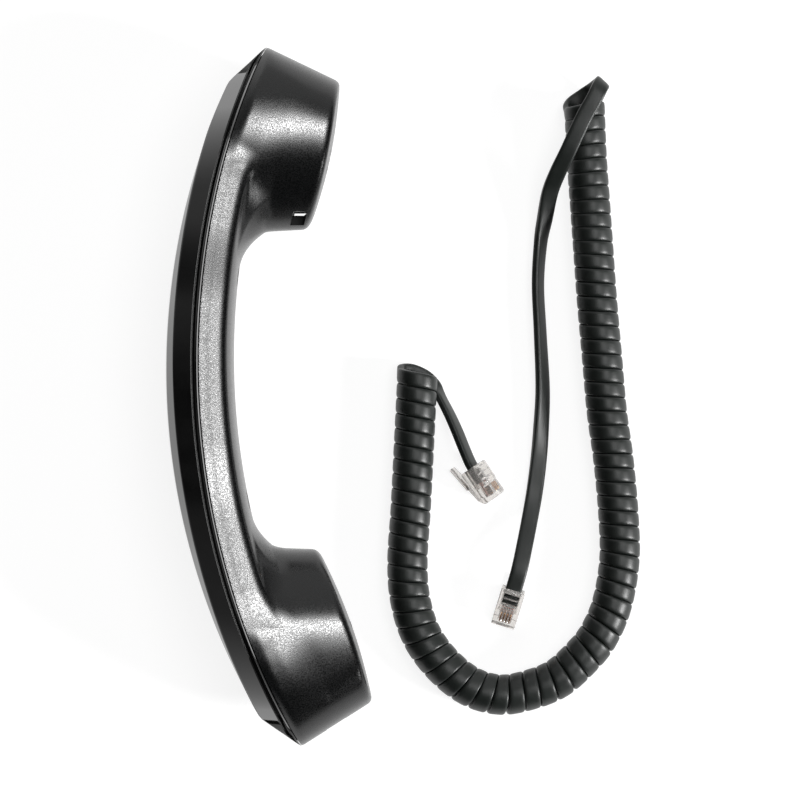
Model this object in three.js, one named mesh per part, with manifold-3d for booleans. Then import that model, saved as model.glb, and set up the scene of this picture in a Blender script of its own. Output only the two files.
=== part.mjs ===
// A desk telephone handset lying on its flank, with its detached curly cord beside it.
// Millimetres. +X is the way the ear and mouth faces look, +Y runs along the handset towards
// the ear end, +Z is up. The origin is the middle of the handset's footprint, on the surface.

import * as THREE from 'three';
import { mergeVertices } from 'three/addons/utils/BufferGeometryUtils.js';
import Module from 'manifold-3d';

const wasm = await Module();
wasm.setup();

// ---- Driving dimensions -------------------------------------------------------------------

const HALF_LENGTH = 110.9; // handset, tip to tip, is twice this
const HALF_WIDTH = 24.5; // across the cups, flank to flank
const GRIP_HALF_WIDTH = 24.0; // across the handle
const MID_Z = HALF_WIDTH; // plane of symmetry, with one flank on the surface
const WALL = 2.0; // moulded shell thickness
const GAP = 0.15; // half of the gap kept along every joint face

// Side-view arcs, each x = cx - sqrt(r^2 - (y - cy)^2).
const SEAM = { cx: 218.0, cy: 10.75, r: 240.3 }; // joint between the two shells
const BACK = { cx: 184.2, cy: 8.4, r: 216.7 }; // outer face of the back shell
const GRIP = { cx: 213.5, cy: 12.0, r: 225.0 }; // inner face of the handle

const TOP_TIP = [-0.4, HALF_LENGTH]; // where the joint meets the ear end
const BOTTOM_TIP = [10.7, -HALF_LENGTH]; // where the joint meets the mouth end
const TOP_BACK_CORNER = [-13.6, 98.2];
const BOTTOM_BACK_CORNER = [-3.4, -100.8];
const FLANK_DEPTH = 7.9; // flat flank of the back shell, measured from the joint
const BEVEL_DROP = 4.2; // how far the bevel between flank and back runs in

// Cups. Each ring: its outer (end) point and inner (handle) point in side view, its half width.
const EAR_RINGS = [
  { outer: [-6.3, 113.85], inner: [-18.0, 50.0], half: 24.5 },
  { outer: [-0.4, HALF_LENGTH], inner: [-8.0, 48.6], half: 24.5 },
  { outer: [4.5, 108.6], inner: [-1.0, 52.3], half: 24.2 },
  { outer: [20.6, 100.8], inner: [10.4, 52.9], half: 22.9 },
  { outer: [21.9, 97.6], inner: [12.9, 54.9], half: 21.3 },
];
const MOUTH_RINGS = [
  { outer: [4.4, -114.8], inner: [-14.0, -44.5], half: 24.5 },
  { outer: [BOTTOM_TIP[0], -HALF_LENGTH], inner: [-4.0, -44.9], half: 24.5 },
  { outer: [15.0, -108.1], inner: [1.5, -48.0], half: 24.2 },
  { outer: [31.9, -97.4], inner: [14.0, -48.4], half: 22.9 },
  { outer: [32.5, -94.6], inner: [16.8, -50.9], half: 21.3 },
];
const FACE_DOME = 1.5; // how far each speech face crowns
const EAR_FACE = { centre: [18.3, 74.7], inward: [-0.9742, 0.2257] };
const MOUTH_FACE = { centre: [25.7, -72.4], inward: [-0.941, -0.338] };

// Speech openings, hanger windows and the cord socket.
const EAR_HOLE_RING = { radius: 6.0, hole: 1.25, count: 6 };
const MOUTH_SLOT = { long: 9.0, wide: 2.0 };
const HANGER_WINDOW = { x: [7.1, 11.75], lean: 0.5, y: [54.2, 58.4], deep: 21.0 };
const JACK = { centre: [21.6, -104.0], outward: [0.538, -0.843], wide: 7.9, tall: 6.8, deep: 11.0 };

// Screws that hold the shells together, by their place along the handle.
const SCREW_STATIONS = [38, -33];
const SCREW = { head: 2.6, shank: 1.25, length: 16 };

// Ballast bar in the handle.
const BALLAST = { x: [-26.6, -21.4], y: [-22, 28], half: 12.5 };

// Cord: a flat four-core lead, coiled for most of its length.
const COIL_RADIUS = 6.5; // outside of the coil
const COIL_Z = 6.55;
const LEAD_RADIUS = 1.4;
const COIL_ROUTE = [
  [47.4, 7.2], [46.8, -5.0], [46.1, -19.0], [45.2, -36.4], [44.2, -52.4], [45.0, -64.6],
  [48.5, -76.1], [55.3, -85.7], [64.2, -92.8], [73.9, -95.5], [83.5, -93.9], [92.4, -90.2],
  [100.1, -83.3], [105.3, -76.7], [109.7, -66.5], [112.1, -52.4], [111.8, -38.0],
  [110.2, -20.3], [108.1, -5.0], [106.5, 13.0], [104.9, 31.0], [103.8, 46.3], [102.7, 61.7],
  [101.6, 77.1], [100.9, 94.0],
];
const SHORT_LEAD_ROUTE = [
  [55.4, -0.4, 2.8], [55.9, -1.6, 2.9], [57.7, -6.0, 3.2], [60.0, -11.3, 3.7],
  [62.2, -16.8, 4.3], [64.6, -22.0, 4.9],
];
const LONG_LEAD_ROUTE = [
  [102.8, 96.6, 3.0], [104.5, 98.2, 3.9], [106.2, 100.0, 7.4], [106.3, 100.0, 11.4],
  [105.3, 98.3, 14.2], [103.7, 94.9, 15.3], [100.8, 89.8, 15.4], [98.0, 83.9, 15.2], [95.1, 77.6, 14.0],
  [92.2, 71.6, 11.2], [89.8, 65.3, 8.0], [88.2, 56.9, 4.6], [86.9, 49.0, 2.8],
  [86.1, 36.1, 2.2], [86.8, 20.7, 2.2], [87.6, 2.8, 2.1], [87.1, -10.1, 1.9],
  [86.3, -20.4, 1.6], [85.0, -30.6, 1.9], [83.3, -40.0, 3.7], [81.6, -48.4, 6.0],
  [80.1, -55.2, 7.3], [78.35, -61.45, 6.7],
];

// Modular plug, in its own frame: +Y to the nose, +Z the contact side, latch on the -Z side.
const PLUG = { wide: 7.65, tall: 6.6, long: 12.2 };
const PLUG_CONTACT = { pitch: 1.02, thick: 0.34, slot: 0.62, long: 4.2, tall: 3.4 };
const LATCH = { wide: 3.25, thick: 1.1, long: 12.6, spread: 2.9 };
const PLUG_PLACES = [
  { name: 'plug_a', at: [68.5, -27.6, 4.95], heading: -145.6, roll: -64, pitch: 0 },
  { name: 'plug_b', at: [76.5, -67.5, 5.35], heading: 163, roll: 0, pitch: -12 },
];

// ---- Materials ----------------------------------------------------------------------------

const MATERIALS = {
  gloss: new THREE.MeshStandardMaterial({ color: 0x0c0c0d, roughness: 0.25, metalness: 0.0 }),
  textured: new THREE.MeshStandardMaterial({ color: 0x141415, roughness: 0.55, metalness: 0.0 }),
  jacket: new THREE.MeshStandardMaterial({ color: 0x1c1e1e, roughness: 0.5, metalness: 0.0 }),
  clear: new THREE.MeshStandardMaterial({ color: 0xe4e6e2, roughness: 0.08, metalness: 0.0 }),
  gold: new THREE.MeshStandardMaterial({ color: 0xc9a15a, roughness: 0.3, metalness: 1.0 }),
  steel: new THREE.MeshStandardMaterial({ color: 0x8d9093, roughness: 0.4, metalness: 1.0 }),
  rubber: new THREE.MeshStandardMaterial({ color: 0x1a1a1a, roughness: 0.85, metalness: 0.0 }),
  cloth: new THREE.MeshStandardMaterial({ color: 0x26262a, roughness: 0.95, metalness: 0.0 }),
  film: new THREE.MeshStandardMaterial({ color: 0xc8b48a, roughness: 0.35, metalness: 0.0 }),
  wire: new THREE.MeshStandardMaterial({ color: 0x9a2a22, roughness: 0.5, metalness: 0.0 }),
};

// ---- Geometry helpers ---------------------------------------------------------------------

function solidOf(geometry) {
  const bare = geometry.clone();
  bare.deleteAttribute('normal');
  bare.deleteAttribute('uv');
  const merged = mergeVertices(bare, 1e-4);
  return new wasm.Manifold(new wasm.Mesh({
    numProp: 3,
    vertProperties: merged.attributes.position.array,
    triVerts: Uint32Array.from(merged.index.array),
  }));
}

function geometryOf(solid) {
  const mesh = solid.simplify(0.02).getMesh();
  const geometry = new THREE.BufferGeometry();
  geometry.setAttribute('position', new THREE.BufferAttribute(mesh.vertProperties, 3));
  geometry.setIndex(new THREE.BufferAttribute(mesh.triVerts, 1));
  return geometry;
}

function piece(name, geometry, material) {
  const mesh = new THREE.Mesh(geometry, material);
  mesh.name = name;
  return mesh;
}

function signedVolume(points, faces) {
  let sum = 0;
  const cross = new THREE.Vector3();
  for (const [a, b, c] of faces) {
    sum += points[a].dot(cross.crossVectors(points[b], points[c]));
  }
  return sum / 6;
}

// A closed solid through rings of equal point counts. Each end is closed by strips that join
// point i to point n - 1 - i, so a ring starts on its line of symmetry.
function loft(rings) {
  const n = rings[0].length;
  const points = rings.flat();
  const faces = [];
  for (let k = 0; k + 1 < rings.length; k += 1) {
    for (let i = 0; i < n; i += 1) {
      const a = k * n + i;
      const b = k * n + ((i + 1) % n);
      faces.push([a, b, b + n], [a, b + n, a + n]);
    }
  }
  const last = (rings.length - 1) * n;
  for (let i = 0; i + 1 < n / 2; i += 1) {
    const j = n - 1 - i;
    faces.push([i, j, i + 1], [last + i, last + i + 1, last + j]);
    if (j - 1 > i + 1) {
      faces.push([i + 1, j, j - 1], [last + i + 1, last + j - 1, last + j]);
    }
  }
  const outward = signedVolume(points, faces) > 0;
  const index = faces.flatMap(([a, b, c]) => (outward ? [a, b, c] : [a, c, b]));
  const geometry = new THREE.BufferGeometry();
  const flat = points.flatMap((p) => [p.x, p.y, p.z]);
  geometry.setAttribute('position', new THREE.Float32BufferAttribute(flat, 3));
  geometry.setIndex(index);
  return geometry;
}

function box(x, y, z) {
  const geometry = new THREE.BoxGeometry(x[1] - x[0], y[1] - y[0], z[1] - z[0]);
  geometry.translate((x[0] + x[1]) / 2, (y[0] + y[1]) / 2, (z[0] + z[1]) / 2);
  return geometry;
}

// A turned solid about a line in the side view: profile points are [radius, depth along it].
function turned(profile, start, direction, segments = 24, z = MID_Z) {
  const outline = profile.map(([radius, depth]) => new THREE.Vector2(radius, depth));
  const geometry = new THREE.LatheGeometry(outline, segments);
  const axis = new THREE.Vector3(direction[0], direction[1], 0).normalize();
  const turn = new THREE.Quaternion().setFromUnitVectors(new THREE.Vector3(0, 1, 0), axis);
  geometry.applyQuaternion(turn);
  geometry.translate(start[0], start[1], z);
  return outwards(geometry);
}

// The same solid with its faces pointing out.
function outwards(geometry) {
  const bare = geometry.clone();
  bare.deleteAttribute('normal');
  bare.deleteAttribute('uv');
  const merged = mergeVertices(bare, 1e-4);
  const place = merged.attributes.position;
  const points = [];
  for (let i = 0; i < place.count; i += 1) {
    points.push(new THREE.Vector3().fromBufferAttribute(place, i));
  }
  const faces = [];
  for (let i = 0; i < merged.index.count; i += 3) {
    const face = [0, 1, 2].map((k) => merged.index.getX(i + k));
    if (new Set(face).size === 3) faces.push(face);
  }
  const outward = signedVolume(points, faces) > 0;
  merged.setIndex(faces.flatMap(([a, b, c]) => (outward ? [a, b, c] : [a, c, b])));
  return merged;
}

// A round tube along a smooth curve through the points.
function tube(route, radius, steps, sides = 8, tension = 0.5) {
  const points = route.map((p) => new THREE.Vector3(...p));
  const path = new THREE.CatmullRomCurve3(points, false, 'catmullrom', tension);
  const section = new THREE.Shape();
  for (let i = 0; i < sides; i += 1) {
    const angle = (2 * Math.PI * i) / sides;
    const corner = [radius * Math.cos(angle), radius * Math.sin(angle)];
    if (i === 0) section.moveTo(...corner);
    else section.lineTo(...corner);
  }
  return outwards(new THREE.ExtrudeGeometry(section, { steps, extrudePath: path }));
}

// ---- Handset shape ------------------------------------------------------------------------

function arcX(arc, y, grow = 0) {
  const radius = arc.r + grow;
  return arc.cx - Math.sqrt(radius * radius - (y - arc.cy) ** 2);
}

// Half width of the handset at y, without the rounding of its ends.
function sideHalf(y) {
  const middle = 8;
  const t = Math.min(Math.max((Math.abs(y - middle) - 22) / 24, 0), 1);
  return GRIP_HALF_WIDTH + (HALF_WIDTH - GRIP_HALF_WIDTH) * t * t * (3 - 2 * t);
}

// Half width with the rounded ends, drawn in by inset.
function planHalf(y, inset) {
  const roundStart = 68;
  const power = 2.4;
  const t = Math.max((Math.abs(y) - roundStart) / (HALF_LENGTH - inset - roundStart), 0);
  const end = t < 1 ? (1 - t ** power) ** (1 / power) : 0;
  return (sideHalf(y) - inset) * end;
}

// Upright prism over the plan outline, along X.
function planPrism(inset) {
  const reach = HALF_LENGTH - inset;
  const steps = 44;
  const edge = [];
  for (let i = 0; i <= steps; i += 1) {
    const y = -reach * Math.cos((Math.PI * i) / steps);
    edge.push([y, planHalf(y, inset)]);
  }
  const outline = new THREE.Shape();
  outline.moveTo(...edge[0]);
  edge.slice(1).forEach((p) => outline.lineTo(...p));
  edge.slice(1, -1).reverse().forEach((p) => outline.lineTo(p[0], -p[1]));
  const geometry = new THREE.ExtrudeGeometry(outline, { depth: 120, bevelEnabled: false });
  const axes = new THREE.Matrix4().makeBasis(
    new THREE.Vector3(0, 1, 0), new THREE.Vector3(0, 0, 1), new THREE.Vector3(1, 0, 0),
  );
  geometry.applyMatrix4(axes);
  geometry.translate(-60, 0, MID_Z);
  return solidOf(geometry);
}

// Everything on the back side of the joint, or on its front side.
function seamBlock(side, gap) {
  const far = side * 90;
  const outline = new THREE.Shape();
  outline.moveTo(far, -130);
  for (let i = 0; i <= 44; i += 1) {
    const y = -130 + (260 * i) / 44;
    outline.lineTo(arcX(SEAM, y) + side * gap, y);
  }
  outline.lineTo(far, 130);
  const geometry = new THREE.ExtrudeGeometry(outline, { depth: 80, bevelEnabled: false });
  geometry.translate(0, 0, -15);
  return solidOf(outwards(geometry));
}

// Side outline of the back shell's outer face, run along Z.
function backBlock(inset) {
  const outline = new THREE.Shape();
  const [topX, topY] = TOP_BACK_CORNER;
  const [bottomX, bottomY] = BOTTOM_BACK_CORNER;
  const slide = inset * 1.1;
  outline.moveTo(40, HALF_LENGTH - inset * 1.6);
  outline.lineTo(TOP_TIP[0] + inset, HALF_LENGTH - inset * 1.6);
  for (let i = 0; i <= 30; i += 1) {
    const y = topY - slide + ((bottomY - topY + 2 * slide) * i) / 30;
    const ends = i === 0 || i === 30;
    const x = arcX(BACK, y, -inset);
    if (ends) outline.lineTo((i === 0 ? topX : bottomX) + inset * 0.9, y);
    else outline.lineTo(x, y);
  }
  outline.lineTo(BOTTOM_TIP[0] + inset * 0.6, -HALF_LENGTH + inset * 1.6);
  outline.lineTo(40, -HALF_LENGTH + inset * 1.6);
  const geometry = new THREE.ExtrudeGeometry(outline, { depth: 80, bevelEnabled: false });
  geometry.translate(0, 0, -15);
  return solidOf(outwards(geometry));
}

// Long body with bevels between the flanks and the back.
function bevelBody(inset) {
  const rings = [];
  for (let i = 0; i <= 36; i += 1) {
    const y = 115 - (230 * i) / 36;
    const half = sideHalf(y) - inset;
    const back = arcX(BACK, y, -inset);
    const bevel = Math.min(arcX(SEAM, y) - FLANK_DEPTH, back + 5) + inset * 0.4;
    const drop = Math.max(BEVEL_DROP * Math.min((bevel - back) / 2.6, 1), 0.2);
    const section = [
      [30, half], [bevel, half], [back - 0.01, half - drop],
      [back - 0.01, -half + drop], [bevel, -half], [30, -half],
    ];
    rings.push(section.map(([x, z]) => new THREE.Vector3(x, y, MID_Z + z)));
  }
  return solidOf(loft(rings));
}

function bossAt(y, from, to, radius, segments = 16) {
  return solidOf(turned([[0, from], [radius, from], [radius, to], [0, to]],
    [0, y], [1, 0], segments));
}

function backShell() {
  const outer = bevelBody(0).intersect(backBlock(0)).intersect(planPrism(0));
  const hollow = bevelBody(WALL).intersect(backBlock(WALL)).intersect(planPrism(WALL));
  let shell = outer.subtract(hollow).intersect(seamBlock(-1, GAP));
  for (const y of SCREW_STATIONS) {
    const seam = arcX(SEAM, y) - 0.6;
    const floor = arcX(BACK, y) + 1;
    shell = shell.add(bossAt(y, floor, seam, 3.2));
    shell = shell.subtract(bossAt(y, floor + 2.5, seam + 1, 1.55, 12));
  }
  return shell;
}

// Handle from behind the joint to its inner face, running on inside both cups.
function gripBody(inset) {
  const rings = [];
  for (let i = 0; i <= 28; i += 1) {
    const y = 100 - (200 * i) / 28;
    const half = sideHalf(y) - inset;
    const front = arcX(GRIP, y) - inset;
    const rear = arcX(SEAM, y) - 6;
    const soft = 2.4;
    const section = [
      [rear, half], [front - soft, half], [front - 0.7, half - 1.3], [front, half - 4.5],
      [front, -half + 4.5], [front - 0.7, -half + 1.3], [front - soft, -half], [rear, -half],
    ];
    rings.push(section.map(([x, z]) => new THREE.Vector3(x, y, MID_Z + z)));
  }
  return solidOf(loft(rings));
}

// One oval ring standing on its side-view chord, scaled about its middle and pushed outwards.
function ovalRing(spec, inset, scale, push) {
  const sides = 40;
  const power = 2.25;
  const outer = new THREE.Vector2(...spec.outer);
  const inner = new THREE.Vector2(...spec.inner);
  const middle = outer.clone().add(inner).multiplyScalar(0.5);
  const along = outer.clone().sub(inner);
  const reach = (along.length() / 2 - inset) * scale;
  const half = (spec.half - inset) * scale;
  along.normalize();
  middle.addScaledVector(new THREE.Vector2(along.y, -along.x), push);
  const ring = [];
  for (let i = 0; i < sides; i += 1) {
    const angle = (2 * Math.PI * (i + 0.5)) / sides;
    const c = Math.cos(angle);
    const s = Math.sin(angle);
    const u = Math.sign(c) * Math.abs(c) ** (2 / power) * reach;
    const w = Math.sign(s) * Math.abs(s) ** (2 / power) * half;
    ring.push(new THREE.Vector3(middle.x + along.x * u, middle.y + along.y * u, MID_Z + w));
  }
  return ring;
}

// A cup lofted through its rings and closed by a slightly domed face.
function cupBody(specs, side, inset) {
  const last = specs.length - 1;
  const rings = specs.map((spec, k) => ovalRing(spec, inset, 1, k >= last - 1 ? -side * inset : 0));
  for (const scale of [0.72, 0.4]) {
    const push = side * (FACE_DOME * (1 - scale * scale) - inset);
    rings.push(ovalRing(specs[last], inset, scale, push));
  }
  return solidOf(loft(rings));
}

// Seven round openings in the ear face.
function earHoles() {
  const { radius, hole, count } = EAR_HOLE_RING;
  const cutters = [faceDrill(EAR_FACE, 0, 0, hole)];
  for (let i = 0; i < count; i += 1) {
    const angle = (2 * Math.PI * i) / count;
    cutters.push(faceDrill(EAR_FACE, radius * Math.cos(angle), radius * Math.sin(angle), hole));
  }
  return cutters;
}

// A round cutter through a cup's face, off its centre by u along the side view and w across.
function faceDrill(face, u, w, radius) {
  const along = [face.inward[1], -face.inward[0]];
  const start = [
    face.centre[0] + along[0] * u - face.inward[0] * 3,
    face.centre[1] + along[1] * u - face.inward[1] * 3,
  ];
  const profile = [[0, 0], [radius, 0], [radius, 9], [0, 9]];
  return solidOf(turned(profile, start, face.inward, 10, MID_Z + w));
}

function jackCutter(wide, tall, from, to) {
  const geometry = box([-tall / 2, tall / 2], [from, to], [-wide / 2, wide / 2]);
  const [nx, ny] = JACK.outward;
  const axes = new THREE.Matrix4().makeBasis(
    new THREE.Vector3(-ny, nx, 0), new THREE.Vector3(-nx, -ny, 0), new THREE.Vector3(0, 0, -1),
  );
  geometry.applyMatrix4(axes);
  geometry.translate(JACK.centre[0], JACK.centre[1], MID_Z);
  return outwards(geometry);
}

function mouthSlot() {
  const { long, wide } = MOUTH_SLOT;
  const half = long / 2 - wide / 2;
  return [-half, -half / 3, half / 3, half].map((w) => faceDrill(MOUTH_FACE, 0, w, wide / 2));
}

function hangerWindows() {
  const { x, y, lean, deep } = HANGER_WINDOW;
  const top = 2 * HALF_WIDTH;
  const outline = new THREE.Shape();
  outline.moveTo(x[0], y[0]);
  outline.lineTo(x[1], y[0]);
  outline.lineTo(x[1] + lean, y[1]);
  outline.lineTo(x[0] + lean, y[1]);
  outline.closePath();
  return [[top - deep, top + 1], [-1, deep]].map(([low, high]) => {
    const geometry = new THREE.ExtrudeGeometry(outline, { depth: high - low, bevelEnabled: false });
    geometry.translate(0, 0, low);
    return solidOf(outwards(geometry));
  });
}

function frontShell() {
  const front = seamBlock(1, GAP);
  const outer = gripBody(0)
    .add(cupBody(EAR_RINGS, 1, 0))
    .add(cupBody(MOUTH_RINGS, -1, 0))
    .intersect(planPrism(0));
  const hollow = gripBody(WALL)
    .add(cupBody(EAR_RINGS, 1, WALL))
    .add(cupBody(MOUTH_RINGS, -1, WALL))
    .intersect(planPrism(WALL));
  let shell = outer.subtract(hollow).intersect(front);
  for (const y of SCREW_STATIONS) {
    const face = arcX(GRIP, y);
    shell = shell.add(bossAt(y, arcX(SEAM, y) + 0.6, face - 1, 4.2));
    shell = shell.subtract(bossAt(y, -60, face + 5, 1.6, 12));
    shell = shell.subtract(bossAt(y, face - 2.4, face + 5, 3.0));
  }
  const cutters = [
    ...earHoles(),
    ...mouthSlot(),
    ...hangerWindows(),
    solidOf(jackCutter(JACK.wide + 0.4, JACK.tall + 0.4, -6, 5)),
  ];
  return cutters.reduce((solid, cutter) => solid.subtract(cutter), shell);
}

// ---- Working parts inside -----------------------------------------------------------------

function earParts() {
  const at = (profile, segments) => turned(
    profile, EAR_FACE.centre, EAR_FACE.inward, segments,
  );
  return [
    piece('ear_cloth', at([[0, 3.0], [12.8, 3.0], [12.8, 3.4], [0, 3.4]]), MATERIALS.cloth),
    piece('ear_gasket', at([[13.4, 3.8], [16.8, 3.8], [16.8, 5.5], [13.4, 5.5], [13.4, 3.8]]),
      MATERIALS.rubber),
    piece('receiver_frame', at([
      [15.7, 5.8], [17.0, 5.8], [17.0, 8.6], [16.0, 15.2], [9.6, 15.2], [9.6, 13.8],
      [14.6, 13.8], [15.4, 8.0], [15.7, 5.8],
    ]), MATERIALS.gloss),
    piece('receiver_diaphragm', at([
      [0, 6.4], [5, 6.4], [8, 7.0], [15.0, 7.0], [15.0, 7.3], [8, 7.3], [5, 6.8], [0, 6.8],
    ]), MATERIALS.film),
    piece('receiver_coil', at([[6.5, 7.6], [7.4, 7.6], [7.4, 12.4], [6.5, 12.4], [6.5, 7.6]]),
      MATERIALS.gold),
    piece('receiver_magnet', at([[0, 9.6], [6.1, 9.6], [6.1, 13.0], [0, 13.0]]),
      MATERIALS.steel),
    piece('receiver_yoke', at([
      [0, 13.3], [7.8, 13.3], [7.8, 9.0], [9.3, 9.0], [9.3, 14.9], [0, 14.9],
    ]), MATERIALS.steel),
  ];
}

function mouthParts() {
  const at = (profile, segments) => turned(
    profile, MOUTH_FACE.centre, MOUTH_FACE.inward, segments,
  );
  return [
    piece('mic_cloth', at([[0, 2.8], [6.6, 2.8], [6.6, 3.2], [0, 3.2]]), MATERIALS.cloth),
    piece('mic_boot', at([
      [2.2, 3.5], [7.2, 3.5], [7.2, 10.6], [5.4, 10.6], [5.4, 4.7], [2.2, 4.7], [2.2, 3.5],
    ]), MATERIALS.rubber),
    piece('mic_capsule', at([[0, 5.0], [5.0, 5.0], [5.0, 10.3], [0, 10.3]]), MATERIALS.steel),
  ];
}

function ballast() {
  const { x, y, half } = BALLAST;
  return piece('ballast_weight', box(x, y, [MID_Z - half, MID_Z + half]), MATERIALS.steel);
}

function screws() {
  return SCREW_STATIONS.map((y, i) => {
    const { head, shank, length } = SCREW;
    const profile = [
      [0, 0.8], [head, 0.8], [head, 2.1], [shank, 2.1], [shank, length - 1], [0, length],
    ];
    const name = i === 0 ? 'shell_screw_ear' : 'shell_screw_mouth';
    return piece(name, turned(profile, [arcX(GRIP, y), y], [-1, 0], 12), MATERIALS.steel);
  });
}

function jackParts() {
  const { wide, tall, deep } = JACK;
  const block = solidOf(jackCutter(wide + 2.6, tall + 2.6, 3.3, 4.6 + deep));
  const socket = solidOf(jackCutter(wide, tall, -1, 3.3 + deep));
  const housing = piece('jack_housing', geometryOf(block.subtract(socket)), MATERIALS.gloss);
  const [nx, ny] = JACK.outward;
  const contacts = [0, 1, 2, 3].map((i) => {
    const w = (i - 1.5) * PLUG_CONTACT.pitch;
    const place = (depth, side) => [
      JACK.centre[0] - nx * depth - ny * side, JACK.centre[1] - ny * depth + nx * side, MID_Z + w,
    ];
    const route = [place(4.2, 3.05), place(7.0, 2.6), place(10.0, 1.4), place(12.6, 0.4)];
    return piece(`jack_contact_${i + 1}`, tube(route, 0.22, 4, 6), MATERIALS.gold);
  });
  return [housing, ...contacts];
}

function wires() {
  const radius = 0.55;
  const list = [];
  [0, 1].forEach((i) => {
    const z = MID_Z + 6.6 + 1.8 * i;
    const route = [
      [1.6, 76.0, z - 5], [-5.0, 71.0, z - 1], [-11.6, 60.0, z], [-16.0, 42.0, z],
      [-17.6, 14.0, z], [-16.4, -14.0, z], [-11.8, -40.0, z], [-4.0, -62.0, z],
      [6.0, -80.0, z - 2], [12.0, -88.6, z - 5],
    ];
    list.push(piece(`receiver_wire_${i + 1}`, tube(route, radius, 26, 6), MATERIALS.wire));
  });
  [0, 1].forEach((i) => {
    const z = MID_Z - 1.6 - 1.6 * i;
    const route = [
      [15.0, -76.6, z], [12.4, -79.6, z], [11.6, -84.0, z - 0.5], [12.8, -89.2, z - 0.5],
    ];
    list.push(piece(`mic_wire_${i + 1}`, tube(route, radius, 8, 6), MATERIALS.wire));
  });
  return list;
}

// ---- Cord set -----------------------------------------------------------------------------

function cordParts() {
  const coil = COIL_ROUTE.map(([x, y]) => [x, y, COIL_Z]);
  return [
    piece('cord_coil', tube(coil, COIL_RADIUS, 52, 12), MATERIALS.jacket),
    piece('cord_lead_short', tube(SHORT_LEAD_ROUTE, LEAD_RADIUS, 8, 8), MATERIALS.jacket),
    piece('cord_lead_long', tube(LONG_LEAD_ROUTE, LEAD_RADIUS, 44, 8), MATERIALS.jacket),
  ];
}

function plugBody() {
  const { wide, tall, long } = PLUG;
  const half = [wide / 2, long / 2, tall / 2];
  const outline = new THREE.Shape();
  outline.moveTo(-half[1], -half[2]);
  outline.lineTo(half[1] - 1.2, -half[2]);
  outline.lineTo(half[1], -half[2] + 1.2);
  outline.lineTo(half[1], half[2] - 0.6);
  outline.lineTo(half[1] - 0.6, half[2]);
  outline.lineTo(-half[1], half[2]);
  const geometry = new THREE.ExtrudeGeometry(outline, { depth: wide, bevelEnabled: false });
  const axes = new THREE.Matrix4().makeBasis(
    new THREE.Vector3(0, 1, 0), new THREE.Vector3(0, 0, 1), new THREE.Vector3(1, 0, 0),
  );
  geometry.applyMatrix4(axes);
  geometry.translate(-half[0], 0, 0);
  let body = solidOf(outwards(geometry));
  const bore = box([-2.95, 2.95], [-half[1] - 1, half[1] - 5.2], [-1.5, 1.5]);
  const window = box([-2.6, 2.6], [-half[1] + 2.0, -half[1] + 5.2], [0, half[2] + 1]);
  body = body.subtract(solidOf(bore)).subtract(solidOf(window));
  for (const x of contactPlaces()) {
    const side = PLUG_CONTACT.slot / 2;
    const slot = box([x - side, x + side],
      [half[1] - PLUG_CONTACT.long - 0.5, half[1] - 0.4],
      [half[2] - PLUG_CONTACT.tall - 0.3, half[2] + 1]);
    body = body.subtract(solidOf(slot));
  }
  return geometryOf(body);
}

function contactPlaces() {
  return [0, 1, 2, 3].map((i) => (i - 1.5) * PLUG_CONTACT.pitch);
}

function plugContact(x) {
  const side = PLUG_CONTACT.thick / 2;
  const nose = PLUG.long / 2 - 0.7;
  const top = PLUG.tall / 2 - 0.3;
  return box([x - side, x + side], [nose - PLUG_CONTACT.long + 0.5, nose],
    [top - PLUG_CONTACT.tall + 0.4, top]);
}

// Latch tab, free at the cord end and bent at its root near the nose.
function plugLatch() {
  const { wide, thick, long, spread } = LATCH;
  const top = -PLUG.tall / 2 - 0.3;
  const root = PLUG.long / 2 - 1.3;
  const outline = new THREE.Shape();
  outline.moveTo(root, top);
  outline.lineTo(root - 2.0, top - 0.1);
  outline.lineTo(root - long, top - spread + thick);
  outline.lineTo(root - long, top - spread);
  outline.lineTo(root - 0.8, top - 0.9);
  outline.lineTo(root, top - 0.5);
  const geometry = new THREE.ExtrudeGeometry(outline, { depth: wide, bevelEnabled: false });
  const axes = new THREE.Matrix4().makeBasis(
    new THREE.Vector3(0, 1, 0), new THREE.Vector3(0, 0, 1), new THREE.Vector3(1, 0, 0),
  );
  geometry.applyMatrix4(axes);
  geometry.translate(-wide / 2, 0, 0);
  return outwards(geometry);
}

function plug({ name, at, heading, roll, pitch }) {
  const group = new THREE.Group();
  group.add(piece(`${name}_body`, plugBody(), MATERIALS.clear));
  group.add(piece(`${name}_latch`, plugLatch(), MATERIALS.clear));
  contactPlaces().forEach((x, i) => {
    group.add(piece(`${name}_contact_${i + 1}`, plugContact(x), MATERIALS.gold));
  });
  group.rotation.set(
    THREE.MathUtils.degToRad(pitch),
    THREE.MathUtils.degToRad(roll),
    THREE.MathUtils.degToRad(heading),
    'ZXY',
  );
  group.position.set(...at);
  return group;
}

// ---- The object ---------------------------------------------------------------------------

const handset = new THREE.Group();
handset.add(
  piece('back_shell', geometryOf(backShell()), MATERIALS.gloss),
  piece('front_shell', geometryOf(frontShell()), MATERIALS.textured),
  ...earParts(),
  ...mouthParts(),
  ballast(),
  ...screws(),
  ...jackParts(),
  ...wires(),
);

const cordSet = new THREE.Group();
cordSet.add(...cordParts(), ...PLUG_PLACES.map(plug));

const object = new THREE.Group();
object.add(handset, cordSet);

export default object;
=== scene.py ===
"""The looks of a black telephone handset on its flank, with its flat curly cord beside it."""

import math

import bmesh
import bpy
import numpy as np
from mathutils import Matrix, Vector


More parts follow.
